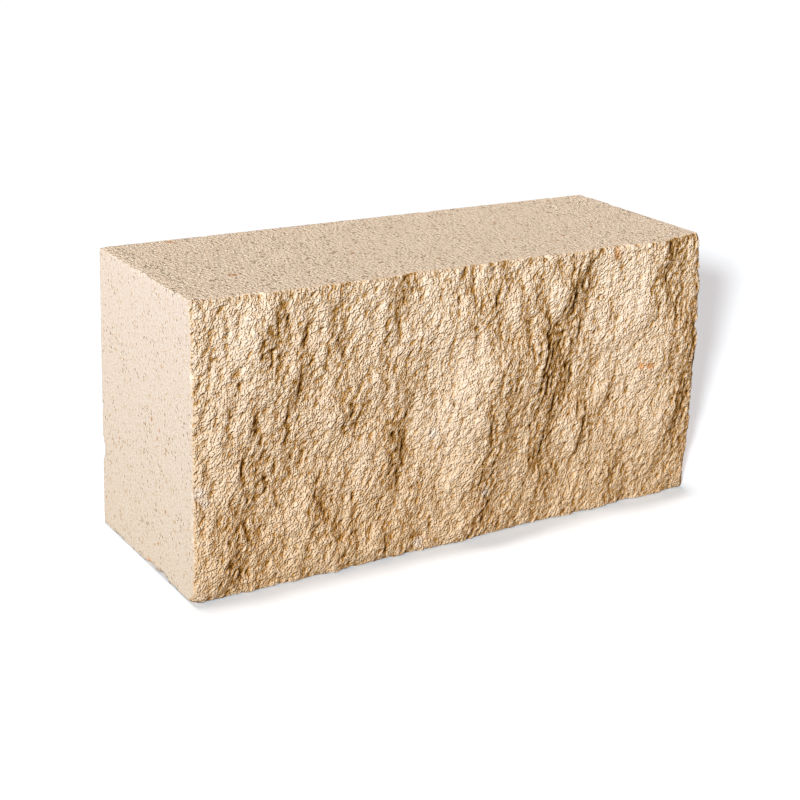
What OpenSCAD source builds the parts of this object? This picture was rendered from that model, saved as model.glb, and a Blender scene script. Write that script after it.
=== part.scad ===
// Split-face limestone block.
// One piece of stone. It is sawn flat on its two beds, its two ends and its back, and split off the
// slab on its exposed side, so that side is a natural fracture with ridges, scars and crumbled arrises.
// X runs along the block, the split face looks along -Y, and Z is up.
// The origin is on the lower bed, in the middle of the sawn blank.

/* [Block] */
// Length of the block, end to end
block_length = 390; // [200:5:400]
// Height of the block, bed to bed
block_height = 190; // [90:5:200]
// Depth from the sawn back to the split arrises, without the relief that stands proud of them
block_depth = 140; // [90:5:200]

/* [Split face] */
// How strong the relief is: 0 is a flat face and 1 is the natural one
relief = 1; // [0:0.05:1.2]
// How far the ridges lean over from upright, in degrees
grain_lean = 10; // [0:1:45]
// Which fracture the crumbled texture shows
fracture_seed = 41; // [1:1:200]
// Spacing of the surface points across the face
cell = 4; // [4:0.5:12]

/* [Arrises] */
// Width of the band along the split arrises that is crumbled
arris_band = 7; // [3:0.5:12]
// How far the deepest crumbled places lie back from the arris
arris_loss = 3; // [0:0.1:5]

/* [Hidden] */

// The ridges and scars below are placed on a face of this size, and stretch with the block.
drawn_length = 390;
drawn_height = 190;

// Each ridge: [x, z, half length along the lean, width of its gentle left flank,
// width of its steep right flank, height]. A hollow has a negative height.
RIDGES = [
    // the broad rise across the middle, its sharper crest, and the steps that it falls by on the right
    [14, 108, 44, 44, 46, 8.0],
    [11, 106, 34, 16, 16, 2.6],
    [4, 52, 30, 30, 28, 4.6],
    [55, 116, 24, 40, 16, 3.8],
    [48, 60, 28, 18, 16, 4.2],
    [2, 12, 16, 14, 10, 2.0],
    [-8, 160, 20, 20, 14, 2.6],
    [40, 160, 16, 12, 12, 2.4],
    // the deep valley on its right, up to the upper arris, and the low ridges in it
    [86, 116, 34, 20, 26, -3.6],
    [94, 166, 18, 14, 22, -3.6],
    [74, 165, 16, 14, 12, 3.6],
    [88, 66, 18, 12, 9, 4.6],
    [112, 84, 14, 12, 10, 2.2],
    [118, 18, 18, 14, 14, 2.6],
    // the long smooth rise near the right end, and the fall to its arris
    [155, 92, 56, 24, 42, 6.6],
    [144, 164, 26, 18, 16, 3.6],
    [163, 54, 16, 12, 10, 3.0],
    // the left half: low ridges with short steep right flanks, and the shallow hollows between them
    [-148, 170, 18, 16, 12, 4.0],
    [-142, 132, 18, 16, 12, 3.6],
    [-172, 96, 32, 18, 30, 2.0],
    [-182, 20, 24, 12, 14, 3.8],
    [-120, 46, 14, 12, 9, 3.4],
    [-102, 106, 18, 14, 13, 3.0],
    [-101, 160, 18, 12, 10, 2.4],
    [-68, 156, 16, 14, 12, 2.0],
    [-94, 10, 14, 12, 9, 2.8],
    [-70, 70, 22, 14, 13, 3.2],
    [-68, 12, 14, 12, 9, 2.8],
    [-47, 28, 14, 12, 9, 2.8],
    [-48, 78, 26, 18, 26, -2.0],
    // the three corners that broke back
    [-192, 186, 30, 30, 36, -4.4],
    [194, 188, 26, 34, 20, -5.0],
    [-194, 4, 20, 20, 24, -1.2]
];

// Each layer of facets: [spacing of its facets, stretch along the lean, height].
FACETS = [
    [26, 1.4, 1.6],
    [14, 1.5, 1.3],
    [8, 1.4, 0.9]
];
// How far each facet is drawn over to the right, which steepens its right side.
facet_skew = -0.45;
// A smooth rise keeps this share of the facets' height, and a steep fall has this much.
smooth_share = 0.8;
steep_share = 1.5;
// The fall to the right, height over width, from which a place is steep, and the width it is taken over.
steep_fall = 0.3;
fall_width = 6;

half_length = block_length / 2;
back_y = block_depth / 2;
split_y = -block_depth / 2;
// The split surface runs on this far past the sawn faces, which then trim it.
overrun = 1;
// The first row of surface points inside each arris.
rim_inset = 1.6;
// The blank is drawn this much deeper than the arrises, which is more than any ridge stands proud.
ridge_room = 20;

stone_colour = "#d8c3a5";

function ease(t) = t * t * (3 - 2 * t);
function clamp01(t) = min(1, max(0, t));
function blend(a, b, t) = a + (b - a) * t;

// Random heights from -1 to 1 on a square lattice that repeats
lattice_side = 48;
function lattice(seed) = [for (row = [0 : lattice_side - 1]) rands(-1, 1, lattice_side, seed + row)];
facet_lattice = lattice(fracture_seed);
crumb_lattice = lattice(fracture_seed + lattice_side);

function wrapped(i) = (i % lattice_side + lattice_side) % lattice_side;
function height_at(grid, column, row) = grid[wrapped(row)][wrapped(column)];
// Smooth noise: the lattice heights around a point, blended
function noise(grid, u, v) =
    let (column = floor(u), row = floor(v), s = ease(u - column), t = ease(v - row))
    blend(
        blend(height_at(grid, column, row), height_at(grid, column + 1, row), s),
        blend(height_at(grid, column, row + 1), height_at(grid, column + 1, row + 1), s),
        t
    );

// Coordinates across and along the lean of the grain
function across(x, z) = x * cos(grain_lean) - z * sin(grain_lean);
function along(x, z) = x * sin(grain_lean) + z * cos(grain_lean);

function bell(distance, width) = exp(-pow(distance / width, 2));
// Height of one ridge: a bell along the lean, and across it a gentle flank and a steep one
function ridge_height(ridge, x, z) =
    let (
        dx = x - ridge[0],
        dz = z - ridge[1],
        u = across(dx, dz),
        flank = u < 0 ? ridge[3] : ridge[4]
    )
    ridge[5] * bell(along(dx, dz), ridge[2]) * bell(u, flank);

// Height of one layer of facets, leaning over to the right
function facet_height(facet, x, z) =
    let (
        u = across(x, z) / facet[0],
        v = along(x, z) / (facet[0] * facet[1]),
        first = noise(facet_lattice, u, v)
    )
    facet[2] * noise(facet_lattice, u + facet_skew * first, v);

function sum(values, i = 0) = i < len(values) ? values[i] + sum(values, i + 1) : 0;

// Height of all the ridges, on a face of the drawn size
function ridges_height(x, z) = sum([for (ridge = RIDGES) ridge_height(ridge, x, z)]);
// How much of their height the facets have: stone that breaks down a slope breaks rougher
function roughness(x, z) =
    let (fall = (ridges_height(x - fall_width / 2, z) - ridges_height(x + fall_width / 2, z)) / fall_width)
    blend(smooth_share, steep_share, ease(clamp01(fall / steep_fall)));

function relief_height(x, z) =
    let (face_x = x * drawn_length / block_length, face_z = z * drawn_height / block_height)
    ridges_height(face_x, face_z)
    + roughness(face_x, face_z) * sum([for (facet = FACETS) facet_height(facet, x, z)]);

// How far in from the nearest arris a place on the face is
function from_arris(x, z) = max(0, min(half_length - abs(x), z, block_height - z));
// Stone lost along the arris: a worn edge all round, with crumbled places here and there
function crumbled(x, z) =
    let (
        worn = pow(clamp01(1 - from_arris(x, z) / arris_band), 2),
        bites = clamp01(0.35 + 0.65 * noise(crumb_lattice, x / 9, z / 9))
    )
    arris_loss * worn * bites;

function split_surface(x, z) = split_y - relief * relief_height(x, z) + crumbled(x, z);

// Places of the surface points over a span from low to high: even cells, and a narrow one at each rim
function stations(low, high) =
    let (
        first = low + rim_inset,
        last = high - rim_inset,
        cells = ceil((last - first) / cell)
    )
    concat(
        [low - overrun],
        [for (i = [0 : cells]) blend(first, last, i / cells)],
        [high + overrun]
    );

xs = stations(-half_length, half_length);
zs = stations(0, block_height);
columns = len(xs);
rows = len(zs);

// The walk round the rim of the grid, anticlockwise as seen from the front: [column, row]
rim = concat(
    [for (i = [0 : columns - 2]) [i, 0]],
    [for (j = [0 : rows - 2]) [columns - 1, j]],
    [for (i = [columns - 1 : -1 : 1]) [i, rows - 1]],
    [for (j = [rows - 1 : -1 : 1]) [0, j]]
);

// Everything behind the fracture: the grid of the split surface, walls straight back from its rim,
// and a flat back that is fanned out from its middle.
module behind_the_split() {
    rear_y = back_y + overrun;
    front_points = [for (z = zs) for (x = xs) [x, split_surface(x, z), z]];
    rear_points = [for (place = rim) [xs[place[0]], rear_y, zs[place[1]]]];
    rear_middle = [0, rear_y, block_height / 2];

    function front_index(i, j) = j * columns + i;
    function rim_index(k) = front_index(rim[k % len(rim)][0], rim[k % len(rim)][1]);
    function rear_index(k) = columns * rows + k % len(rim);
    middle_index = columns * rows + len(rim);

    // Each cell is cut along its rising diagonal, which follows the lean of the grain.
    front_faces = [
        for (j = [0 : rows - 2]) for (i = [0 : columns - 2]) for (upper = [true, false])
            upper
                ? [front_index(i, j), front_index(i, j + 1), front_index(i + 1, j + 1)]
                : [front_index(i, j), front_index(i + 1, j + 1), front_index(i + 1, j)]
    ];
    wall_faces = [
        for (k = [0 : len(rim) - 1])
            [rim_index(k), rim_index(k + 1), rear_index(k + 1), rear_index(k)]
    ];
    rear_faces = [
        for (k = [0 : len(rim) - 1])
            [rear_index(k), rear_index(k + 1), middle_index]
    ];
    polyhedron(
        points = concat(front_points, rear_points, [rear_middle]),
        faces = concat(front_faces, wall_faces, rear_faces)
    );
}

// The slab as the saw leaves it, with room in front for the ridges
module sawn_blank() {
    translate([-half_length, split_y - ridge_room, 0])
        cube([block_length, block_depth + ridge_room, block_height]);
}

// A shell-shaped chip out of an arris: a ball of the given radius bites to the given depth at a place
// on the arris, from the direction that the ball's centre lies in.
module chip(place, outward, radius, depth) {
    translate(place + outward / norm(outward) * (radius - depth))
        sphere(r = radius, $fn = 64);
}

// The shallow chip in the upright arris between the left end and the back
module back_arris_chip() {
    chip([-half_length, back_y, block_height * 0.27], [-1, 0.7, 0.1], 26, 2.4);
}

// The run of chips along the lower arris of the left end, growing towards the split face
module lower_arris_chips() {
    chip([-half_length, back_y - block_depth * 0.55, 0], [-1, 0, -1], 10, 2.4);
    chip([-half_length, back_y - block_depth * 0.68, 0], [-1, 0.2, -1], 14, 2.8);
    chip([-half_length, split_y + 6, 0], [-1, -0.6, -0.8], 14, 2.0);
}

// The bite under the split face beside that corner
module undercut() {
    chip([15 - half_length, split_y + 1, 0], [0, -0.6, -1], 18, 1.6);
}

// The worn corners of the upper bed: large balls, so they are cut off nearly flat
module worn_upper_corners() {
    chip([-half_length, split_y, block_height], [-1, -0.4, 1], 20, 2.6);
    chip([half_length, split_y + 2, block_height], [1, -0.5, 1], 40, 2.6);
    chip([half_length, back_y, block_height], [1, 0.6, 1], 30, 1.8);
}

module limestone_block() {
    color(stone_colour)
    difference() {
        intersection() {
            sawn_blank();
            behind_the_split();
        }
        back_arris_chip();
        lower_arris_chips();
        undercut();
        worn_upper_corners();
    }
}

limestone_block();
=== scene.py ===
# %% [markdown]
# # Split-face limestone block
#
# A walling block is sawn out of soft limestone on five sides and split on the sixth. The saw leaves
# flat, pale, finely pitted faces, and the split leaves a crust of ridges, scars and loose-looking
# grains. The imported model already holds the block's true size and the main forms of the fracture.
# This lesson wraps a fine skin over it, roughens that skin, and gives it the two finishes.

# %% Load the frame
import math

import bpy
import numpy as np
from mathutils import Matrix, Vector


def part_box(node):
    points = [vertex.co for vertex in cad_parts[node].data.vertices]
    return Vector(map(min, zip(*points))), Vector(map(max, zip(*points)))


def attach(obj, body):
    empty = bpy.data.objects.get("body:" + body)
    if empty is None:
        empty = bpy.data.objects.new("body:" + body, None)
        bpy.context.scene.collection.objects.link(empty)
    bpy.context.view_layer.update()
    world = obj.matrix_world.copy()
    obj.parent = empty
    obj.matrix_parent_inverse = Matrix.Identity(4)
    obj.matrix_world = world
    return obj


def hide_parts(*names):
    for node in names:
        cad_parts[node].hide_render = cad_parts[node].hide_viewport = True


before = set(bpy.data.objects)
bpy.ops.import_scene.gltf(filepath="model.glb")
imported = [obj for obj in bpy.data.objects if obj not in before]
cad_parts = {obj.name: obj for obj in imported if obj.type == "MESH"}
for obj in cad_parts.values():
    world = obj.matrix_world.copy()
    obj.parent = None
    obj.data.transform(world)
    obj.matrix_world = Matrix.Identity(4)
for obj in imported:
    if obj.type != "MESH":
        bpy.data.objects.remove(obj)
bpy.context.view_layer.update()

NODE = "limestone_block"
MM = 0.001

low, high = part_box(NODE)
print("block measures", [round((b - a) / MM, 1) for a, b in zip(low, high)], "mm")

# %% [markdown]
# ## Noise
#
# No two places of broken stone are alike, so every rough shape below is built from one ingredient:
# gradient noise. It could come from Blender's texture nodes or `mathutils.noise`, but those work
# inside a shader only, or a point at a time. Here it is worked out for a whole array of points at
# once, and a seed makes it the same on every run.

# %% Gradient noise on arrays
# The lattice of random directions repeats after this many corners.
LATTICE_SIDE = 32
# The noise is 0 at every corner of the lattice, so all points are moved this far off the corners.
OFF_CORNER = 0.37
# Brings the noise up to about -1 to 1
NOISE_GAIN = 1.6


def ease(t):
    """Rises from 0 to 1 with no slope or bend at either end: 6t^5 - 15t^4 + 10t^3."""
    return t * t * t * (t * (6 * t - 15) + 10)


def noise(points, size, seed):
    """Gradient noise from about -1 to 1. Each corner of a lattice of the given size has a random
    direction, and a point gets the blend, over the 8 corners round it, of how far it lies along theirs."""
    arrows = np.random.default_rng(seed).normal(size=(LATTICE_SIDE,) * 3 + (3,))
    arrows /= np.linalg.norm(arrows, axis=-1, keepdims=True)
    place = points / size + OFF_CORNER
    corner = np.floor(place).astype(int)
    inside = place - corner
    weight = ease(inside)
    total = np.zeros(points.shape[:-1])
    for step in np.ndindex(2, 2, 2):
        i, j, k = np.moveaxis((corner + step) % LATTICE_SIDE, -1, 0)
        share = np.prod(np.where(step, weight, 1 - weight), axis=-1)
        total += share * np.sum(arrows[i, j, k] * (inside - step), axis=-1)
    return total * NOISE_GAIN


sample_points = np.random.default_rng(1).uniform(0, 1, (5000, 3))
sample = noise(sample_points, size=0.05, seed=7)
print("noise spans", round(sample.min(), 2), "to", round(sample.max(), 2))

# %% [markdown]
# ## The split surface, read from the frame
#
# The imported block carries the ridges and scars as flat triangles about 4 mm wide. They could be cut
# finer with a Subdivision Surface modifier, but their corners lie unevenly, and the crust needs even
# ones. So a grid of points is laid in front of the block and pressed straight back onto it by a
# Shrinkwrap modifier in Project mode, which is quicker and plainer than casting a ray for each point
# in a loop. A short Gaussian blur then takes the facets off.

# %% Lay a grid in front of the split face
CELLS_X, CELLS_Z = 360, 176
# The outermost points aim this far inside the sides, so that they don't miss the block.
AIM_INSET = 0.25 * MM
# How far in front of the block they start
STAND_OFF = 12 * MM

grid_x = np.linspace(low.x, high.x, CELLS_X + 1)
grid_z = np.linspace(low.z, high.z, CELLS_Z + 1)
skin_step = grid_x[1] - grid_x[0]
face_x, face_z = np.meshgrid(grid_x, grid_z)
in_front = np.stack(
    [
        np.clip(face_x, low.x + AIM_INSET, high.x - AIM_INSET),
        np.full_like(face_x, low.y - STAND_OFF),
        np.clip(face_z, low.z + AIM_INSET, high.z - AIM_INSET),
    ],
    axis=-1,
)
print("split face grid", CELLS_X, "x", CELLS_Z, "cells of", round(skin_step / MM, 2), "mm")

# %% Press it onto the block


def mesh_from(name, points, faces=()):
    """A mesh object from an array of points and a list of faces."""
    mesh = bpy.data.meshes.new(name)
    mesh.from_pydata(points.tolist(), [], list(faces))
    made = bpy.data.objects.new(name, mesh)
    bpy.context.scene.collection.objects.link(made)
    return made


def pressed_onto_block(points, **settings):
    """Where the points land when a Shrinkwrap modifier with these settings presses them onto the block."""
    cloud = mesh_from("pressed_points", points)
    wrap = cloud.modifiers.new("press", "SHRINKWRAP")
    wrap.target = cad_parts[NODE]
    for key, value in settings.items():
        setattr(wrap, key, value)
    settled = cloud.evaluated_get(bpy.context.evaluated_depsgraph_get()).to_mesh()
    landed = np.empty(len(settled.vertices) * 3)
    settled.vertices.foreach_get("co", landed)
    bpy.data.objects.remove(cloud)
    return landed.reshape(-1, 3)


facets = pressed_onto_block(
    in_front.reshape(-1, 3), wrap_method="PROJECT", use_project_y=True, use_positive_direction=True
)
facets_y = facets[:, 1].reshape(face_x.shape)
print("facets lie between", round(facets_y.min() / MM, 1), "and", round(facets_y.max() / MM, 1), "mm")

# %% Take the facets off
FACET_BLUR = 2.8 * MM


def blurred(field, radius):
    """A height field after a Gaussian blur of that radius along both of its directions."""
    cells = radius / skin_step
    reach = int(3 * cells) + 1
    weights = np.exp(-0.5 * (np.arange(-reach, reach + 1) / cells) ** 2)
    weights /= weights.sum()
    for axis in (0, 1):
        padding = [(reach, reach) if a == axis else (0, 0) for a in (0, 1)]
        padded = np.pad(field, padding, mode="edge")
        windows = np.lib.stride_tricks.sliding_window_view(padded, 2 * reach + 1, axis=axis)
        field = windows @ weights
    return field


base_y = blurred(facets_y, FACET_BLUR)
print("the blur moved the face by at most", round(np.abs(base_y - facets_y).max() / MM, 1), "mm")

# %% [markdown]
# ## The crust of the fracture
#
# Limestone parts between its grains and shell fragments, not through them. So the broken face is a
# crust of lumps, from the size of a pea down to coarse sand. The split ran from left to right: it left
# the rising parts fairly smooth, and tore down the falling ones. A Displace modifier with a cloud
# texture would be just as rough everywhere. Worked out as height fields on the grid, the crust can
# read how steeply the face falls at each point, and be rougher there.

# %% Find where the stone tore
FALL_BLUR = 3 * MM
# The crust's share of its height on smooth and on torn places, and the falls that count as each
SMOOTH_SHARE, TORN_SHARE = 0.9, 1.4
SMOOTH_FALL, TORN_FALL = -0.05, 0.32


def rise(value, start, end):
    """0 below start, 1 above end, and an even curve between them: 3t^2 - 2t^3."""
    t = np.clip((value - start) / (end - start), 0, 1)
    return t * t * (3 - 2 * t)


def fall_to_right(depth_and_shade, radius):
    """How steeply a table of depths, blurred by that radius, falls away to the right."""
    return np.gradient(blurred(depth_and_shade, radius), skin_step, axis=1)


torn = rise(fall_to_right(base_y, FALL_BLUR), SMOOTH_FALL, TORN_FALL)
roughness = SMOOTH_SHARE + (TORN_SHARE - SMOOTH_SHARE) * torn
print("stone is torn over", round(100 * (torn > 0.5).mean()), "percent of the face")

# %% [markdown]
# The grains of this stone lie in beds that lean a little, so its flakes and lumps lean with them, the
# smaller ones more. Two kinds of layer make them. Plain noise gives soft flakes. Noise folded over at
# zero, which is its size without its sign, gives rounded lumps that meet in creases, or turned over,
# hollows that meet in sharp crests. Both are drawn over to one side, so right flanks are steeper than
# left ones.

# %% Two kinds of layer
# Where a layer is high, the place that it is read at moves left by this share of its cells' size. That
# draws its high places over to the right.
CRUST_SKEW = 0.45


def leaning(size, stretch, lean, seed):
    """Noise over the face whose cells are size wide across their lean and stretched along it. Where a
    first layer of it is high, the place that it is read at moves left, which steepens the right flank."""
    turn = math.radians(lean)
    across = face_x * math.cos(turn) - face_z * math.sin(turn)
    along = face_x * math.sin(turn) + face_z * math.cos(turn)
    place = np.stack([across, along / stretch, np.zeros_like(across)], axis=-1)
    place[..., 0] -= CRUST_SKEW * size * noise(place, size, seed)
    return noise(place, size, seed)


def lumps(size, stretch, lean, seed):
    """Rounded lumps with creases between them: the size of the noise without its sign, less its mean."""
    folded = np.abs(leaning(size, stretch, lean, seed))
    return folded - folded.mean()


# Each layer: its kind, the size of its cells, their stretch, their lean in degrees, and its height.
# A negative height turns the lumps over into hollows with crests between them.
CRUST = [
    (leaning, 13 * MM, 2.2, 0, 1.0 * MM),
    (leaning, 8 * MM, 2.4, 0, 0.9 * MM),
    (lumps, 9 * MM, 2.0, 4, -0.6 * MM),
    (lumps, 5.2 * MM, 2.0, 14, -0.85 * MM),
    (leaning, 3.2 * MM, 1.8, 28, 0.6 * MM),
    (leaning, 2.2 * MM, 1.7, 34, 0.6 * MM),
]
print("crust has", len(CRUST), "layers, the finest", round(CRUST[-1][1] / MM, 1), "mm across")

# %% Lay the crust over the base
FIRST_CRUST_SEED = 100
# A point that lies under the mean of its neighbours, this far round it, goes down by this share more.
CREASE_REACH = 1.7 * MM
CREASE_DEEPER = 0.6

crust = np.zeros_like(face_x)
for number, (kind, size, stretch, lean, height) in enumerate(CRUST):
    crust += height * roughness * kind(size, stretch, lean, FIRST_CRUST_SEED + number)
crust -= CREASE_DEEPER * np.maximum(blurred(crust, CREASE_REACH) - crust, 0)
face_y = base_y - crust
print("crust stands", round(np.ptp(crust) / MM, 1), "mm from its lowest to its highest place")

# %% [markdown]
# ## One closed skin
#
# The block is one piece, so its skin is one closed mesh: the split face in front, a band of rings
# running straight back round the four sawn sides, and the sawn back. Six separate sheets would be
# simpler, but they would leave seams along the arrises, just where the stone is chipped. The rings are
# close together near the arrises, and wide apart between them. The sawn sides are plain, so once clear
# of the split the rings have half the points, and the back has a quarter: a ring meets one with half
# its points in a strip of faces with five corners.

# %% Lay out the rings
# How far the fine rings lie behind the split face's middle depth, and the last rings in front of the
# back, in mm
FINE_STEPS = [0, 1.1, 2.2, 3.4, 4.7, 6.2, 8, 10, 12.5, 15.5, 19, 23]
BACK_STEPS = [0, 1.1, 2.4, 4.2, 7]
COARSE_STEP = 3.9 * MM
# How many points of the rim there are to one of a fine ring, of a coarse ring, and of the back
FINE_SKIP, COARSE_SKIP, BACK_SKIP = 1, 2, 4

split_plane = float(np.median(face_y))
front_rows = split_plane + np.array(FINE_STEPS) * MM
back_rows = high.y - np.array(BACK_STEPS[::-1]) * MM
middle_cells = math.ceil((back_rows[0] - front_rows[-1]) / COARSE_STEP)
middle_rows = np.linspace(front_rows[-1], back_rows[0], middle_cells + 1)[1:-1]
row_places = [(row, FINE_SKIP) for row in front_rows[1:]]
row_places += [(row, COARSE_SKIP) for row in [*middle_rows, *back_rows]]
print("rings lie between", round(split_plane / MM, 1), "and", round(high.y / MM, 1), "mm")

# %% Run the rings back from the ragged rim
# The rings follow the rim's own shape at first, and are straight by this far behind it.
RAGGED_REACH = 23 * MM


def walk(table):
    """The rim of a table of values, once round: along the bottom, up the right, back along the top
    and down the left."""
    return np.concatenate([table[0, :-1], table[:-1, -1], table[-1, :0:-1], table[:0:-1, 0]])


rim_x, rim_y, rim_z = walk(face_x), walk(face_y), walk(face_z)
blocks = [np.stack([face_x, face_y, face_z], -1).reshape(-1, 3)]
rim_depths = [face_y.ravel()]
front_index = np.arange(face_x.size).reshape(face_x.shape)
rings = [walk(front_index)]
count = face_x.size
for row, skip in row_places:
    follow = 1 - rise(row - split_plane, 0, RAGGED_REACH)
    ring_y = row + follow * (rim_y[::skip] - split_plane)
    blocks.append(np.stack([rim_x[::skip], ring_y, rim_z[::skip]], -1))
    rim_depths.append(rim_y[::skip])
    rings.append(count + np.arange(len(ring_y)))
    count += len(ring_y)
print("rim has", len(rim_x), "points, and the band has", len(rings), "rings")

# %% Close it with the back
BACK_INSET = 3 * MM

back_x, back_z = np.meshgrid(
    np.linspace(low.x + BACK_INSET, high.x - BACK_INSET, CELLS_X // BACK_SKIP + 1),
    np.linspace(low.z + BACK_INSET, high.z - BACK_INSET, CELLS_Z // BACK_SKIP + 1),
)
blocks.append(np.stack([back_x, np.full_like(back_x, high.y), back_z], -1).reshape(-1, 3))
rim_depths.append(np.full(back_x.size, split_plane))
back_index = count + np.arange(back_x.size).reshape(back_x.shape)
rings.append(walk(back_index))
points = np.concatenate(blocks)
# How far back the split arris lies, straight in front of each point
rim_depth = np.concatenate(rim_depths)
print("skin has", len(points), "points,", back_x.size, "of them on the back")

# %% Join everything into faces


def sheet_faces(index):
    """Four corner numbers for each cell of a table of point numbers, row by row."""
    corners = index[:-1, :-1], index[:-1, 1:], index[1:, 1:], index[1:, :-1]
    return np.stack(corners, axis=-1).reshape(-1, 4)


def strip_faces(near, far):
    """The faces between two rings. With as many points in both, each face has four corners, and where
    the far ring has half as many, each has five: three of the near ring and two of the far one."""
    far_next = np.roll(far, -1)
    if len(near) == len(far):
        return np.stack([near, far, far_next, np.roll(near, -1)], axis=-1)
    return np.stack([near[::2], far, far_next, np.roll(near, -2)[::2], near[1::2]], axis=-1)


faces = sheet_faces(front_index).tolist() + sheet_faces(back_index)[:, ::-1].tolist()
for near, far in zip(rings, rings[1:]):
    faces += strip_faces(near, far).tolist()
triangles = sum(len(face) - 2 for face in faces)
print("skin has", len(faces), "faces, which make", triangles, "triangles")

# %% [markdown]
# ## Chips and worn arrises
#
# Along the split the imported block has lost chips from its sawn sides. A Boolean modifier could cut them
# out of the skin again, but would leave long thin faces. So each point of the band is moved to the
# nearest place on the block instead, wherever that moves it in behind a sawn side.

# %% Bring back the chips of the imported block
# A point moved in by the first of these is on a chip's edge, and by the second well inside it.
CHIP_SHOWS, CHIP_FULL = 0.25 * MM, 0.8 * MM

moved = pressed_onto_block(points, wrap_method="NEAREST_SURFACEPOINT") - points
moved[: face_x.size] = 0
sideways = np.linalg.norm(moved * [1, 0, 1], axis=1)
far_in = np.where(sideways > CHIP_SHOWS, np.linalg.norm(moved, axis=1), 0)
chipped = rise(far_in, CHIP_SHOWS, CHIP_FULL)
points += moved * chipped[:, None]
print("chips of the packed block move", int((chipped > 0.5).sum()), "points")

# %% [markdown]
# A sawn arris of soft stone never stays sharp: it loses grains all along and a chip here and there. A
# Bevel modifier would cut it evenly, like a machine. Here the size of the cut wanders with noise. For
# a point near two sides of the block, the sum of its depths behind them says how near their arris it
# is. Where that sum is under the size of the cut, the point moves in behind both sides by half of what
# is missing, which turns the arris into a bevel that comes and goes like real wear.

# %% List the sides and the arrises
# Each side of the block: how far the points lie behind it, and which way is in
sides = {
    "left": (points[:, 0] - low.x, (1, 0, 0)),
    "right": (high.x - points[:, 0], (-1, 0, 0)),
    "lower": (points[:, 2] - low.z, (0, 0, 1)),
    "upper": (high.z - points[:, 2], (0, 0, -1)),
    "back": (high.y - points[:, 1], (0, -1, 0)),
    "split": (np.maximum(points[:, 1] - rim_depth, 0), (0, 1, 0)),
}
ARRISES = [(end, other) for end in ("left", "right") for other in ("lower", "upper", "back", "split")]
ARRISES += [(bed, other) for bed in ("lower", "upper") for other in ("back", "split")]
print("the block has", len(sides), "sides and", len(ARRISES), "arrises")

# %% Wear the arrises
# How far in along a side the bevel reaches, at the least and at the most worn places of an arris
SAWN_CUT = 0.6 * MM, 2.2 * MM
SPLIT_CUT = 0.7 * MM, 3.6 * MM
# The sizes of large chips, small chips and single lost grains
CHIP_SIZE, SMALL_CHIP_SIZE, FRET_SIZE = 9 * MM, 4 * MM, 2.6 * MM
SMALL_CHIP_SHARE = 0.5
FRET_SHARE = 0.6
CHIP_SEED, SMALL_CHIP_SEED, FRET_SEED = 31, 32, 33
# The chip noise that starts a chip, and that makes one of full depth
CHIP_STARTS, CHIP_FULL_DEPTH = 0.2, 0.9

chip_noise = noise(points, CHIP_SIZE, CHIP_SEED)
chip_noise += SMALL_CHIP_SHARE * noise(points, SMALL_CHIP_SIZE, SMALL_CHIP_SEED)
chipping = rise(chip_noise, CHIP_STARTS, CHIP_FULL_DEPTH)
fret_noise = noise(points, FRET_SIZE, FRET_SEED)
wear = np.zeros_like(points)
for first, second in ARRISES:
    least, most = SPLIT_CUT if second == "split" else SAWN_CUT
    cut = least * (1 + FRET_SHARE * fret_noise) + (most - least) * chipping
    missing = np.maximum(cut - sides[first][0] - sides[second][0], 0) / 2
    wear += missing[:, None] * np.add(sides[first][1], sides[second][1])
points += wear
print("deepest wear", round(np.linalg.norm(wear, axis=1).max() / MM, 1), "mm")

# %% [markdown]
# ## What the finishes need to know
#
# The finishes ask two things of each point: whether the stone there is sawn or split, and how far it lies
# down in a hollow. A shader could find hollows with an Ambient Occlusion node, but only while it renders.
# Stored on the mesh as attributes, they follow the surface.
# The tops of the crust are painted pale and the creases brown, partly as the stone's own colour and partly
# as painted shade, so depth is first measured against the mean of the points just round it. The flanks that
# fall to the right face away from the lamp on the left, and they are painted golden and darker as well.
# That is painted shade, some of it between grains too fine for the mesh. So the fall counts as depth too,
# both close by and over a whole ridge.

# %% Measure how deep each point lies, and how much painted shade it gets
# The crease that counts as one whole step of depth, and how far round a point its neighbours are taken
CREASE_UNIT = 0.45 * MM
NEIGHBOURS = 1.5 * skin_step
CREASE_SHARE = 0.8
# How far a small flank and a ridge's flank are blurred, and the depth of painted shade that a fall of 1 in
# 1 gives
FLANK_BLUR, FLANK_SHADE = 1.8 * MM, 1.3
WIDE_FLANK_BLUR, WIDE_FLANK_SHADE = 6 * MM, 0.8
# A small flank's fall is kept between these.
LEAST_FALL, MOST_FALL = -0.3, 1.0
# This share of the depth's square is added to it, so the deepest creases are deeper still.
DEEPER_STILL = 0.45

height = crust - base_y
crease = (blurred(height, NEIGHBOURS) - height) / CREASE_UNIT
flank_shade = np.clip(fall_to_right(-height, FLANK_BLUR), LEAST_FALL, MOST_FALL)
wide_flank_shade = fall_to_right(-height, WIDE_FLANK_BLUR)
# Creases count partly as the stone's colour and partly as painted shade, and falls to the right, away from
# the lamp, count as painted shade.
depth_and_shade = CREASE_SHARE * crease + (flank_shade * FLANK_SHADE + WIDE_FLANK_SHADE * wide_flank_shade)
hollow = np.zeros(len(points))
hollow[: face_x.size] = (depth_and_shade + DEEPER_STILL * np.maximum(depth_and_shade, 0) ** 2).ravel()
print("hollows run from", np.percentile(hollow[: face_x.size], [2, 50, 98]).round(1))

# %% Mark the split stone
# The split finish fades out over the first rings behind the arris, and shows in the chips.
RING_SHARES = [0.55, 0.15]
CHIP_SHARE = 0.8

split = np.zeros(len(points))
split[: face_x.size] = 1
for ring, share in zip(rings[1:], RING_SHARES):
    split[ring] = share
split = np.maximum(split, CHIP_SHARE * chipped)
print("split finish covers", int((split > 0.5).sum()), "of", len(points), "points")

# %% Make the block
# Faces that meet at more than this angle keep a sharp edge between them.
SHARP_ANGLE = math.radians(60)

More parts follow.
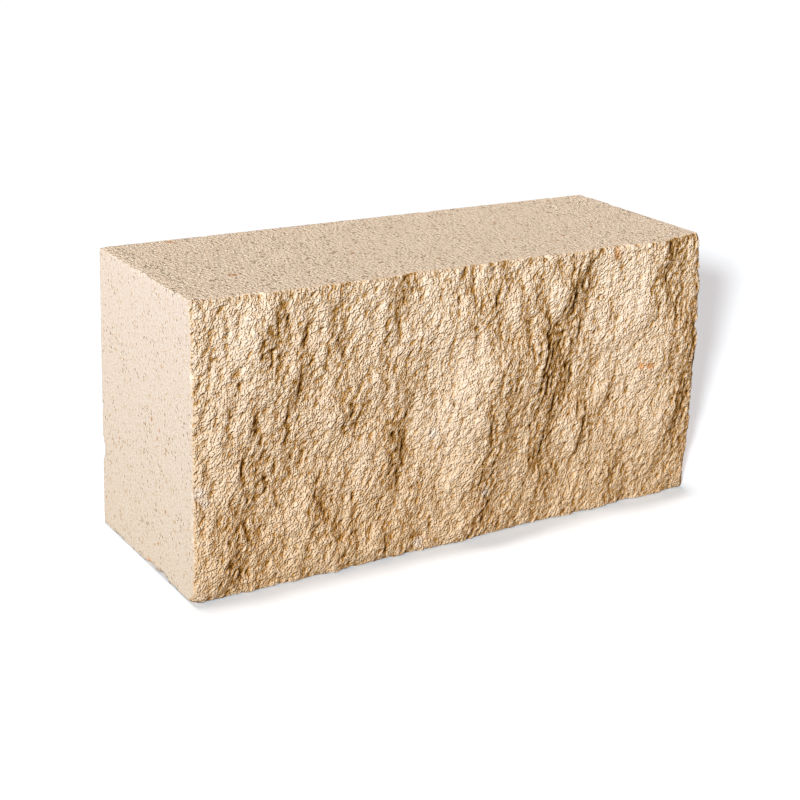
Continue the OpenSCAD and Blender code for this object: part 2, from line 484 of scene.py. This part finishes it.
block = mesh_from("split_face_block", points, faces)
# The second attribute holds each point's depth together with its painted shade, for the colour and the
# bump.
for name, values in (("split", split), ("hollow", hollow)):
    block.data.attributes.new(name, "FLOAT", "POINT").data.foreach_set("value", values.astype(np.float32))
block.data.update()
block.data.shade_smooth()
block.data.set_sharp_from_angle(angle=SHARP_ANGLE)
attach(block, "root")
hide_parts(NODE)
print("the block has", len(block.data.vertices), "points and", triangles, "triangles")

# %% [markdown]
# ## The stone
#
# The stone is a soft, pale buff limestone, and its two finishes differ in how light meets them. The saw
# grinds the grains flat and leaves their own pale powder in the pores, so a sawn face is light, even and
# matt. The split face shows the grains clean, so its colour is warmer. It is painted deepest in the creases
# and on the flanks turned from the lamp, which is partly the stone's own colour and partly painted shade
# and painted light bounced from grain to grain. Two materials would meet in a hard line along the arris, so
# both finishes are made in one, and the split attribute blends them.

# %% Helpers for materials
# A Math node set to MULTIPLY_ADD gives its first input times its second, plus its third. A Mix node has
# inputs A and B for each kind of value, which only their numbers tell apart: its colours are inputs 6
# and 7 and output 2, and its vectors are inputs 4 and 5 and output 1.


def linear(hex_colour, alpha=1.0):
    """Linear RGBA from an sRGB hex colour."""
    channels = [int(hex_colour[i:i + 2], 16) / 255 for i in (1, 3, 5)]
    return [c / 12.92 if c <= 0.04045 else ((c + 0.055) / 1.055) ** 2.4 for c in channels] + [alpha]


def add_node(tree, kind, inputs=None, **settings):
    """Adds a node, sets its settings, and sets or links its inputs: a socket is linked, the rest is set."""
    made = tree.nodes.new(kind)
    for key, value in settings.items():
        setattr(made, key, value)
    for key, value in (inputs or {}).items():
        if isinstance(value, bpy.types.NodeSocket):
            tree.links.new(value, made.inputs[key])
        else:
            made.inputs[key].default_value = value
    return made


def new_material(name):
    """A material with an empty node tree."""
    made = bpy.data.materials.new(name)
    made.use_nodes = True
    made.node_tree.nodes.clear()
    return made, made.node_tree


print("pale stone in linear light is", [round(c, 2) for c in linear("#f4ece4")])

# %% Start the limestone
# The grains of the stone, and patches the size of a pea. Real grains go on down to a tenth of a
# millimetre, but none finer than these would show.
GRAIN_SIZES = {"fine": 1.3 * MM, "coarse": 2.0 * MM, "patch": 9 * MM}

stone, tree = new_material("sawn_and_split_limestone")
coordinates = add_node(tree, "ShaderNodeTexCoord")
place = coordinates.outputs["Object"]
split_here = add_node(tree, "ShaderNodeAttribute", attribute_name="split").outputs["Fac"]
hollow_here = add_node(tree, "ShaderNodeAttribute", attribute_name="hollow").outputs["Fac"]
grain = {
    name: add_node(
        tree, "ShaderNodeTexNoise", {"Vector": place, "Scale": 1 / size, "Detail": 2.0, "Roughness": 0.55}
    ).outputs["Fac"]
    for name, size in GRAIN_SIZES.items()
}
print("grains of", [round(size / MM, 1) for size in GRAIN_SIZES.values()], "mm")

# %% [markdown]
# ### The sawn finish
#
# A sawn face is nearly one colour. What breaks it up is fine: duller grains and ochre ones, a
# millimetre or two across. Painting them would need an image, so they come from two noises: where one
# passes a level, the grain is dull, and where the other does, it is ochre.

# %% Sawn stone and its ochre grains
SAWN_PALE, SAWN_DULL = "#f4ece4", "#ddcdb4"
OCHRE_GRAIN = "#c69c56"
# The noise at which a grain starts to be dull or ochre, and at which it is as much so as it gets
DULL_STARTS, DULL_FULL = 0.35, 0.7
OCHRE_STARTS, OCHRE_FULL = 0.6, 0.72
MOST_OCHRE = 0.7

dull = add_node(
    tree, "ShaderNodeMapRange", {"Value": grain["fine"], "From Min": DULL_STARTS, "From Max": DULL_FULL}
).outputs[0]
pale_and_dull = add_node(
    tree, "ShaderNodeMix", {"Factor": dull, 6: linear(SAWN_PALE), 7: linear(SAWN_DULL)}, data_type="RGBA"
).outputs[2]
ochre = add_node(
    tree,
    "ShaderNodeMapRange",
    {"Value": grain["coarse"], "From Min": OCHRE_STARTS, "From Max": OCHRE_FULL, "To Max": MOST_OCHRE},
).outputs[0]
sawn = add_node(
    tree, "ShaderNodeMix", {"Factor": ochre, 6: pale_and_dull, 7: linear(OCHRE_GRAIN)}, data_type="RGBA"
).outputs[2]
print("sawn stone so far has", len(tree.nodes), "nodes")

# %% [markdown]
# The saw cuts through hollow shells and clots of sand, and what is loose falls out. That leaves pits a
# millimetre or so across, gathered where the stone is poor, and more of them on the beds, which are cut
# along its layers, than on the ends and the back. Hundreds of them as geometry would take more
# triangles than the rest of the block. A Voronoi texture gives each of its cells one middle point and
# one random number, so a cell whose number passes a level gets a pit at its middle, the larger the
# further it passes.

# %% Choose the cells that get a pit
PIT_SPACING = 2.4 * MM
# The least number that gives a pit, on the ends and back and on the beds
END_LUCK, BED_LUCK = 0.88, 0.55
# How strongly patches of poor stone add to the number, and the middle of the noise that makes them
CLUSTERING = 1.6
MIDDLE_NOISE = 0.5

facing = add_node(tree, "ShaderNodeSeparateXYZ", {0: coordinates.outputs["Normal"]}).outputs["Z"]
on_bed = add_node(tree, "ShaderNodeMath", {0: facing}, operation="ABSOLUTE").outputs[0]
least_luck = add_node(
    tree, "ShaderNodeMapRange", {"Value": on_bed, "To Min": END_LUCK, "To Max": BED_LUCK}
).outputs[0]
pit_cells = add_node(tree, "ShaderNodeTexVoronoi", {"Vector": place, "Scale": 1 / PIT_SPACING})
plain_luck = add_node(tree, "ShaderNodeSeparateColor", {"Color": pit_cells.outputs["Color"]}).outputs[0]
poor_stone = add_node(
    tree, "ShaderNodeMath", {0: grain["patch"], 1: MIDDLE_NOISE}, operation="SUBTRACT"
).outputs[0]
pit_luck = add_node(
    tree, "ShaderNodeMath", {0: poor_stone, 1: CLUSTERING, 2: plain_luck}, operation="MULTIPLY_ADD"
).outputs[0]
print("pits lie about", round(PIT_SPACING / MM, 1), "mm apart where every cell has one")

# %% Draw the pits
PIT_BROWN = "#a67e3a"
# The radius of the smallest and the largest pit, and the width of its soft edge, in pit spacings
LEAST_PIT, MOST_PIT = 0.12, 0.5
PIT_EDGE = 0.12
# How much the highest grains fray off that radius, and how strongly a pit is tinted
PIT_RAGGED = 0.25
PIT_TINT = 0.5

pit_size = add_node(
    tree,
    "ShaderNodeMapRange",
    {"Value": pit_luck, "From Min": least_luck, "From Max": 1.0, "To Min": LEAST_PIT, "To Max": MOST_PIT},
).outputs[0]
pit_away = add_node(
    tree,
    "ShaderNodeMath",
    {0: grain["fine"], 1: PIT_RAGGED, 2: pit_cells.outputs["Distance"]},
    operation="MULTIPLY_ADD",
).outputs[0]
pit_inside = add_node(tree, "ShaderNodeMath", {0: pit_size, 1: pit_away}, operation="SUBTRACT").outputs[0]
pit = add_node(
    tree, "ShaderNodeMapRange", {"Value": pit_inside, "From Min": 0.0, "From Max": PIT_EDGE}
).outputs[0]
pit_tint = add_node(tree, "ShaderNodeMath", {0: pit, 1: PIT_TINT}, operation="MULTIPLY").outputs[0]
sawn = add_node(
    tree, "ShaderNodeMix", {"Factor": pit_tint, 6: sawn, 7: linear(PIT_BROWN)}, data_type="RGBA"
).outputs[2]
widest_pit = 2 * (MOST_PIT - PIT_RAGGED / 2) * PIT_SPACING
print("pits are up to", round(widest_pit / MM, 1), "mm across")

# %% Tint the beds
# The beds are a breath yellower than the ends and the back.
BED_TINT = "#fffefb"

sawn = add_node(
    tree,
    "ShaderNodeMix",
    {"Factor": on_bed, 6: sawn, 7: linear(BED_TINT)},
    data_type="RGBA",
    blend_type="MULTIPLY",
).outputs[2]
print("sawn finish has", len(tree.nodes), "nodes")

# %% [markdown]
# ### The split finish
#
# Close up, split limestone is made of flakes a few millimetres long and down to coarse sand. Each
# lifts a little to one side and ends there in a small broken step, and the flakes lean over with the
# grain of the stone. The mesh is too coarse for them, so a shader draws them from Voronoi cells, in
# two sizes. Plain cells have straight sides, like crazy paving, so the place that they are read at is
# first turned by the lean, and then pushed about by noise, which gives them torn outlines.

# %% Turn and push the place that flakes are read at
FLAKE_LEAN = math.radians(32)
# How much longer than wide the flakes are
FLAKE_STRETCH = 1.1
# The size of the noise that pushes their outlines, and how far it pushes
WANDER_SIZE, WANDER = 2.6 * MM, 2.0 * MM

along_grain = add_node(
    tree,
    "ShaderNodeMapping",
    {"Vector": place, "Rotation": (0, FLAKE_LEAN, 0), "Scale": (1, 1, FLAKE_STRETCH)},
    vector_type="TEXTURE",
).outputs[0]
push = add_node(
    tree, "ShaderNodeTexNoise", {"Vector": place, "Scale": 1 / WANDER_SIZE, "Detail": 1.0}
).outputs["Color"]
pushed = add_node(
    tree, "ShaderNodeVectorMath", {0: push, 1: (WANDER,) * 3, 2: along_grain}, operation="MULTIPLY_ADD"
).outputs[0]
print("flakes lean", round(math.degrees(FLAKE_LEAN)), "degrees and wander by", round(WANDER / MM, 1), "mm")

# %% [markdown]
# How deep a place on a flake lies is a sum of three depths. One is the flake's own, from its random
# number. One grows away from its middle, which rounds it. The last falls from one side of it to the
# other, which lifts it like a roof tile, and where it ends against the next flake there is a step.

# %% Add up the flakes' depths
# The size of each set of flakes, and its share of the depth. Real ones go on down to fine sand, but the
# smaller set here is as small as shows.
FLAKES = [(1.25 * MM, 1.0), (3.4 * MM, 0.55)]
# How much deeper the deepest flake lies than the highest, and how much each falls across its width,
# in the measure in which one flake's width away from its middle is 1
FLAKE_LUCK = 0.85
FLAKE_LIFT = 0.65

grit = 0.0
for size, share in FLAKES:
    flakes = add_node(tree, "ShaderNodeTexVoronoi", {"Vector": pushed, "Scale": 1 / size})
    luck = add_node(tree, "ShaderNodeSeparateColor", {"Color": flakes.outputs["Color"]}).outputs[0]
    from_middle = add_node(
        tree, "ShaderNodeVectorMath", {0: pushed, 1: flakes.outputs["Position"]}, operation="SUBTRACT"
    ).outputs[0]
    to_side = add_node(tree, "ShaderNodeSeparateXYZ", {0: from_middle}).outputs["X"]
    sunk = add_node(
        tree,
        "ShaderNodeMath",
        {0: luck, 1: FLAKE_LUCK, 2: flakes.outputs["Distance"]},
        operation="MULTIPLY_ADD",
    ).outputs[0]
    flake_depth = add_node(
        tree, "ShaderNodeMath", {0: to_side, 1: -FLAKE_LIFT / size, 2: sunk}, operation="MULTIPLY_ADD"
    ).outputs[0]
    grit = add_node(
        tree, "ShaderNodeMath", {0: flake_depth, 1: share, 2: grit}, operation="MULTIPLY_ADD"
    ).outputs[0]
print("flakes are", [round(size / MM, 2) for size, share in FLAKES], "mm across")

# %% [markdown]
# The colour follows the depth: pale where a grain stands high, golden on the flanks, and deep brown down in
# the creases. Part of that is the stone's own colour, and part is painted shade and painted light bounced
# from stone to stone, strongest on the flanks that fall to the right, away from the lamp on the left. The
# depth is that of the crust, from the mesh, with the flakes' own added, so that the edges of the colours
# are as torn as the stone.

# %% Colour the split stone by its depth and painted shade
# From the tops of the grains down into the deepest creases and shaded flanks: how deep, and the colour
# there, which is partly painted shade
DEPTH_AND_SHADE_COLOURS = [
    (0.00, "#f3e9dc"),
    (0.30, "#f0dfc4"),
    (0.60, "#c6974c"),
    (1.00, "#422604"),
]
# The depth of the crust at the first and the last colour
SHALLOWEST, DEEPEST = -1.5, 3.0
# How much of the flakes' depth is added, and that depth on a middling flake, which changes nothing
GRIT_SHARE = 0.55
MIDDLE_GRIT = 1.3

# The flakes' depth, added here, paints each flake's low side and the gaps between flakes darker, which is
# partly painted shade.
depth_and_shade_here = add_node(
    tree, "ShaderNodeMath", {0: grit, 1: GRIT_SHARE, 2: hollow_here}, operation="MULTIPLY_ADD"
).outputs[0]
depth_and_shade_share = add_node(
    tree,
    "ShaderNodeMapRange",
    {
        "Value": depth_and_shade_here,
        "From Min": SHALLOWEST + GRIT_SHARE * MIDDLE_GRIT,
        "From Max": DEEPEST + GRIT_SHARE * MIDDLE_GRIT,
    },
).outputs[0]
ramp = add_node(tree, "ShaderNodeValToRGB", {"Fac": depth_and_shade_share})
while len(ramp.color_ramp.elements) < len(DEPTH_AND_SHADE_COLOURS):
    ramp.color_ramp.elements.new(1.0)
for stop, (share, tint) in zip(ramp.color_ramp.elements, DEPTH_AND_SHADE_COLOURS):
    stop.position, stop.color = share, linear(tint)
broken = ramp.outputs["Color"]
print("split finish has", len(DEPTH_AND_SHADE_COLOURS), "colours between depths", SHALLOWEST, "and", DEEPEST)

# %% [markdown]
# ### The darker foot
#
# The whole block is a shade darker towards its foot, the split face more than the sawn ones. It could be
# one gradient over both, but multiplying each finish by a tint of its own lets the sawn faces darken less.

# %% Darken both finishes towards the foot
SAWN_FOOT, SPLIT_FOOT = "#eeede7", "#f0e4d2"

height_here = add_node(tree, "ShaderNodeSeparateXYZ", {0: place}).outputs["Z"]
foot = add_node(
    tree, "ShaderNodeMapRange", {"Value": height_here, "From Min": high.z, "From Max": low.z}
).outputs[0]
sawn, broken = (
    add_node(
        tree,
        "ShaderNodeMix",
        {"Factor": foot, 6: finish, 7: linear(tint)},
        data_type="RGBA",
        blend_type="MULTIPLY",
    ).outputs[2]
    for finish, tint in ((sawn, SAWN_FOOT), (broken, SPLIT_FOOT))
)
colour = add_node(
    tree, "ShaderNodeMix", {"Factor": split_here, 6: sawn, 7: broken}, data_type="RGBA"
).outputs[2]
print("the foot is darkened from", round(high.z / MM), "mm down to", round(low.z / MM), "mm")

# %% [markdown]
# ### Stains and shells
#
# Both finishes are one stone, so iron stains, shell fragments and clots of ochre sand run through it
# wherever they happen to lie. Noise could scatter them, but the few that show are what tells one block from
# the next, so they are listed one by one. Each is a ball of colour round its middle, and its outline is
# made ragged by reading the place through a little noise.

# %% Stains and shells of the split face
PALE_IRON = "#e0a05e"
SHELL = "#eae1d4"
# Each one: x and z in mm, radius in mm, colour, strength
SPLIT_SPOTS = [
    (142, 103, 3.6, PALE_IRON, 0.8),
    (149, 102, 3.6, PALE_IRON, 0.8),
    (117, 185, 5, PALE_IRON, 0.6),
    (-28, 82, 5, SHELL, 0.7),
    (-192, 72, 6, SHELL, 0.65),
    (-188, 65, 4, SHELL, 0.6),
    (15, 33, 5, SHELL, 0.6),
    (-35, 7, 5, SHELL, 0.6),
    (-11, 187, 3, SHELL, 0.6),
    (13, 186, 3, SHELL, 0.6),
    (112, 187, 3, SHELL, 0.6),
]

spots = []
for x, z, *rest in SPLIT_SPOTS:
    row, column = np.abs(grid_z - z * MM).argmin(), np.abs(grid_x - x * MM).argmin()
    spots.append(((x * MM, float(face_y[row, column]), z * MM), *rest))
print(len(spots), "stains and shells on the split face")

# %% Stains of the sawn faces
IRON = "#c8823c"
OCHRE = "#b9803c"
# On the upper bed: x and y in mm, radius in mm, colour, strength
UPPER_BED_SPOTS = [
    (-149, 64, 4, IRON, 0.6),
    (-148, -25, 4, IRON, 0.6),
    (-11, -45, 2.2, OCHRE, 0.8),
    (78, 20, 2.2, OCHRE, 0.8),
    (64, -24, 1.8, OCHRE, 0.8),
    (89, -39, 2.2, OCHRE, 0.8),
    (136, -16, 1.8, OCHRE, 0.8),
    (101, -29, 2, OCHRE, 0.8),
    (157, 61, 2.5, OCHRE, 0.7),
    (-39, 47, 2, OCHRE, 0.7),
    (-55, -10, 2.2, OCHRE, 0.8),
    (-17, -36, 2, OCHRE, 0.8),
]
# On the left end: y and z in mm, and the rest as above
LEFT_END_SPOTS = [
    (-4, 2.4, 3, PALE_IRON, 0.8),
    (-10, 100, 1.8, OCHRE, 0.8),
    (-21, 96, 1.6, OCHRE, 0.8),
    (-18, 90, 1.8, OCHRE, 0.8),
    (-30, 84, 1.5, OCHRE, 0.7),
    (-31, 87, 1.5, PIT_BROWN, 0.9),
    (41, 70, 1.5, OCHRE, 0.8),
    (33, 36, 1.6, OCHRE, 0.8),
    (65, 20, 1.5, OCHRE, 0.8),
    (-29, 46, 1.6, OCHRE, 0.8),
    (-18, 20, 1.8, OCHRE, 0.8),
    (35, 135, 1.5, OCHRE, 0.7),
]

spots += [((x * MM, y * MM, high.z), *rest) for x, y, *rest in UPPER_BED_SPOTS]
spots += [((low.x, y * MM, z * MM), *rest) for y, z, *rest in LEFT_END_SPOTS]
print(len(spots), "stains and shells in all")

# %% Draw them over both finishes
# The size of the noise that frays their outlines, and how far it moves a place. The noise lies round
# a half, so each middle is moved by half as much to go with it.
FRAY_SIZE, FRAY = 2.2 * MM, 3 * MM
# The share of the radius within which the colour has its full strength
SPOT_CORE = 0.4

fray = add_node(tree, "ShaderNodeTexNoise", {"Vector": place, "Scale": 1 / FRAY_SIZE, "Detail": 2.0})
frayed = add_node(
    tree,
    "ShaderNodeVectorMath",
    {0: fray.outputs["Color"], 1: (FRAY,) * 3, 2: place},
    operation="MULTIPLY_ADD",
).outputs[0]
for middle, radius, tint, strength in spots:
    away = add_node(
        tree, "ShaderNodeVectorMath", {0: frayed, 1: [c + FRAY / 2 for c in middle]}, operation="DISTANCE"
    ).outputs["Value"]
    cover = add_node(
        tree,
        "ShaderNodeMapRange",
        {"Value": away, "From Min": radius * MM, "From Max": SPOT_CORE * radius * MM, "To Max": strength},
    ).outputs[0]
    colour = add_node(
        tree, "ShaderNodeMix", {"Factor": cover, 6: colour, 7: linear(tint)}, data_type="RGBA"
    ).outputs[2]
print("colour is done after", len(tree.nodes), "nodes")

# %% [markdown]
# ### Fine relief and the surface
#
# Relief that is too fine for the mesh goes into a bump: pits and coarse grains on the sawn faces, and
# flakes on the split one. Displacement would cut it into the mesh, but at this size it would need
# millions of triangles. A Bump node finds the slope from two heights that lie close together. By
# default they are so close that they seldom lie on both sides of a sharp step between two flakes, so
# its Filter Width is raised to 1, which puts them as far apart as the points of the render.

# %% Bump the sawn faces
FILTER_WIDTH = 1.0
# A pit's height beside the grains', which is negative because it goes in
PIT_HEIGHT = -0.8
# The height that the noise stands for as it goes from 0 to 1, on the ends and the back, and on the
# rougher beds. It seldom leaves 0.4 to 0.6, so the grains stand a fifth as high, and on the beds even
# that is more than the real ones do, or they would not show.
END_RELIEF, BED_RELIEF = 0.6 * MM, 4.4 * MM

sawn_height = add_node(
    tree, "ShaderNodeMath", {0: pit, 1: PIT_HEIGHT, 2: grain["coarse"]}, operation="MULTIPLY_ADD"
).outputs[0]
sawn_relief = add_node(
    tree, "ShaderNodeMapRange", {"Value": on_bed, "To Min": END_RELIEF, "To Max": BED_RELIEF}
).outputs[0]
sawn_bump = add_node(
    tree,
    "ShaderNodeBump",
    {"Strength": 1.0, "Filter Width": FILTER_WIDTH, "Distance": sawn_relief, "Height": sawn_height},
).outputs[0]
print("sawn noise stands for", round(END_RELIEF / MM, 1), "to", round(BED_RELIEF / MM, 1), "mm")

# %% Bump the split face
# A flake's depth goes into the stone, so the relief is negative. It is stronger in the hollows, where
# the stone is torn, than on the tops. First the depths of a top and of a torn hollow, and then the
# height that a flake's depth of 1 stands for on each
TOP_HOLLOW, TORN_HOLLOW = -1.1, 1.6
TOP_RELIEF, TORN_RELIEF = -0.75 * MM, -1.65 * MM

split_relief = add_node(
    tree,
    "ShaderNodeMapRange",
    {
        "Value": hollow_here,
        "From Min": TOP_HOLLOW,
        "From Max": TORN_HOLLOW,
        "To Min": TOP_RELIEF,
        "To Max": TORN_RELIEF,
    },
).outputs[0]
split_bump = add_node(
    tree,
    "ShaderNodeBump",
    {"Strength": 1.0, "Filter Width": FILTER_WIDTH, "Distance": split_relief, "Height": grit},
).outputs[0]
normal = add_node(
    tree, "ShaderNodeMix", {"Factor": split_here, 4: sawn_bump, 5: split_bump}, data_type="VECTOR"
).outputs[1]
print("a flake's depth stands for", round(-TOP_RELIEF / MM, 2), "to", round(-TORN_RELIEF / MM, 2), "mm")

# %% The limestone's surface
# Calcite's IOR is 1.49 to 1.66. Its broken and ground grains face every way and are dusty, so the stone
# is very rough and hardly shines.
STONE_IOR = 1.5
STONE_ROUGHNESS = 0.92
STONE_SPECULAR = 0.05

surface = add_node(
    tree,
    "ShaderNodeBsdfPrincipled",
    {
        "Base Color": colour,
        "Roughness": STONE_ROUGHNESS,
        "IOR": STONE_IOR,
        "Specular IOR Level": STONE_SPECULAR,
        "Normal": normal,
    },
)
add_node(tree, "ShaderNodeOutputMaterial", {"Surface": surface.outputs[0]})
block.data.materials.append(stone)
print("the limestone has", len(tree.nodes), "nodes")

# %% [markdown]
# ## Floor and backdrop
#
# The block stands on white paper that runs on into a white studio. Lamps strong enough to burn plain
# paper out to white would burn the pale stone out too, so camera and glossy rays see paper that glows
# a little. All other rays, the ones that carry light from the paper to the stone, see dull brown, so
# the foot of the block isn't lit from below.

# %% Paper
# Large enough that its edge is far off, and just clear of the block's underside
FLOOR_HALF = 20.0
FLOOR_GAP = 0.2 * MM
PAPER_SEEN = "#f4f4f4"
PAPER_LIGHTING = "#6a5844"
PAPER_GLOW, GLOW_STRENGTH = "#e4eaf8", 0.15


def seen_directly(tree):
    """1 for rays that show what they hit, from the camera or by a reflection, and 0 for the others."""
    rays = add_node(tree, "ShaderNodeLightPath").outputs
    shown = {0: rays["Is Camera Ray"], 1: rays["Is Glossy Ray"]}
    return add_node(tree, "ShaderNodeMath", shown, operation="MAXIMUM").outputs[0]


paper, paper_tree = new_material("white_paper")
lighting = add_node(paper_tree, "ShaderNodeBsdfDiffuse", {"Color": linear(PAPER_LIGHTING)})
plain = add_node(paper_tree, "ShaderNodeBsdfDiffuse", {"Color": linear(PAPER_SEEN)})
glow = add_node(paper_tree, "ShaderNodeEmission", {"Color": linear(PAPER_GLOW), "Strength": GLOW_STRENGTH})
glowing = add_node(paper_tree, "ShaderNodeAddShader", {0: plain.outputs[0], 1: glow.outputs[0]})
mixed = add_node(
    paper_tree,
    "ShaderNodeMixShader",
    {0: seen_directly(paper_tree), 1: lighting.outputs[0], 2: glowing.outputs[0]},
)
add_node(paper_tree, "ShaderNodeOutputMaterial", {"Surface": mixed.outputs[0]})

floor_corners = np.array([[-1, -1, 0], [1, -1, 0], [1, 1, 0], [-1, 1, 0]]) * FLOOR_HALF
floor = mesh_from("white_paper", floor_corners + [0, 0, low.z - FLOOR_GAP], [(0, 1, 2, 3)])
floor.data.materials.append(paper)
print("paper is", 2 * FLOOR_HALF, "m square")

# %% White studio
world = bpy.data.worlds.new("white_studio")
bpy.context.scene.world = world
world.use_nodes = True
world.node_tree.nodes.clear()
white = add_node(
    world.node_tree,
    "ShaderNodeBackground",
    {"Color": linear("#ffffff"), "Strength": seen_directly(world.node_tree)},
)
add_node(world.node_tree, "ShaderNodeOutputWorld", {"Surface": white.outputs[0]})
print("the world is white, and gives the block no light")

# %% [markdown]
# ## Light
#
# Low light from the left rakes across the split face, so every flake has a lit side and a dark one,
# while the sawn end takes it squarely and is the brightest. Soft light from above fills the beds, and
# warm light from all round stands for what a room gives back. Area lamps would fall off over the
# length of the block, and sun lamps don't, so all are suns, soft by their apparent size. The paper has
# two of its own: one from almost overhead, whose soft shadow shows along the foot of the block, and one
# from near the camera, whose shadow falls behind it. With the glow they make white, and light linking
# keeps them off the stone.

# %% Light linking
lit_sets = {}
for name, thing in (("block_only", block), ("floor_only", floor)):
    lit_sets[name] = bpy.data.collections.new(name)
    lit_sets[name].objects.link(thing)
print("lamps light either of", list(lit_sets))

# %% Lamps


def direction(azimuth, elevation):
    """The unit vector towards a lamp or camera: azimuth 0 is straight in front of the split face, and
    negative azimuths are to its left."""
    a, e = math.radians(azimuth), math.radians(elevation)
    return Vector((math.sin(a) * math.cos(e), -math.cos(a) * math.cos(e), math.sin(e)))


# Each lamp: its name, what it lights, azimuth, elevation, strength, apparent size in degrees, colour
SUNS = [
    ("key_from_the_left", "block_only", -51, 20, 4.3, 8, "#fafbff"),
    ("soft_from_above", "block_only", 170, 45, 1.45, 40, "#fff8ec"),
    ("warm_all_round", "block_only", -20, 30, 0.8, 150, "#ffb858"),
    ("fill_from_behind", "block_only", 140, 10, 0.8, 30, "#ffd9a0"),
    ("paper_from_behind", "floor_only", -175, 85.5, 1.82, 9, "#fff8f5"),
    ("paper_from_the_camera", "floor_only", -47, 16.5, 5.4, 3.5, "#f0faff"),
]
for name, lights, azimuth, elevation, strength, spread, tint in SUNS:
    data = bpy.data.lights.new(name, "SUN")
    data.energy = strength
    data.angle = math.radians(spread)
    data.color = linear(tint)[:3]
    lamp = bpy.data.objects.new(name, data)
    lamp.rotation_euler = direction(azimuth, elevation).to_track_quat("Z", "Y").to_euler()
    lamp.light_linking.receiver_collection = lit_sets[lights]
    bpy.context.scene.collection.objects.link(lamp)
print(len(SUNS), "lamps")

# %% [markdown]
# ## Camera
#
# The camera looks down a little at the corner between the left end and the split face, so the split,
# a sawn end and a bed all show. It is placed by its direction and distance from the middle of the
# block, then moved a little to the right and up and rolled a little, as a camera held in the hand is.

# %% Place the camera
# Angles in degrees, the lens in mm as on a full-frame camera, the distance in metres, and the shift in
# widths of the picture
CAMERA_AZIMUTH = -34.181
CAMERA_ELEVATION = 16.409
CAMERA_ROLL = 2.446
CAMERA_LENS = 72.501
CAMERA_DISTANCE = 1.0973
CAMERA_RIGHT = 16.74 * MM
CAMERA_UP = 50.33 * MM
CAMERA_SHIFT = -0.05, -0.12

back_way = direction(CAMERA_AZIMUTH, CAMERA_ELEVATION)
level_right = Vector((0, 0, 1)).cross(back_way).normalized()
roll = Matrix.Rotation(math.radians(CAMERA_ROLL), 3, back_way)
camera_right = roll @ level_right
camera_up = back_way.cross(camera_right)
block_middle = (low + high) / 2
camera_data = bpy.data.cameras.new("camera")
camera_data.lens = CAMERA_LENS
camera_data.shift_x, camera_data.shift_y = CAMERA_SHIFT
camera = bpy.data.objects.new("camera", camera_data)
stand = block_middle + back_way * CAMERA_DISTANCE + camera_right * CAMERA_RIGHT + camera_up * CAMERA_UP
turned = Matrix((camera_right, camera_up, back_way)).transposed().to_4x4()
camera.matrix_world = Matrix.Translation(stand) @ turned
bpy.context.scene.collection.objects.link(camera)
bpy.context.scene.camera = camera
bpy.context.scene.view_settings.view_transform = "Standard"
print("camera stands at", [round(c, 2) for c in stand], "m")
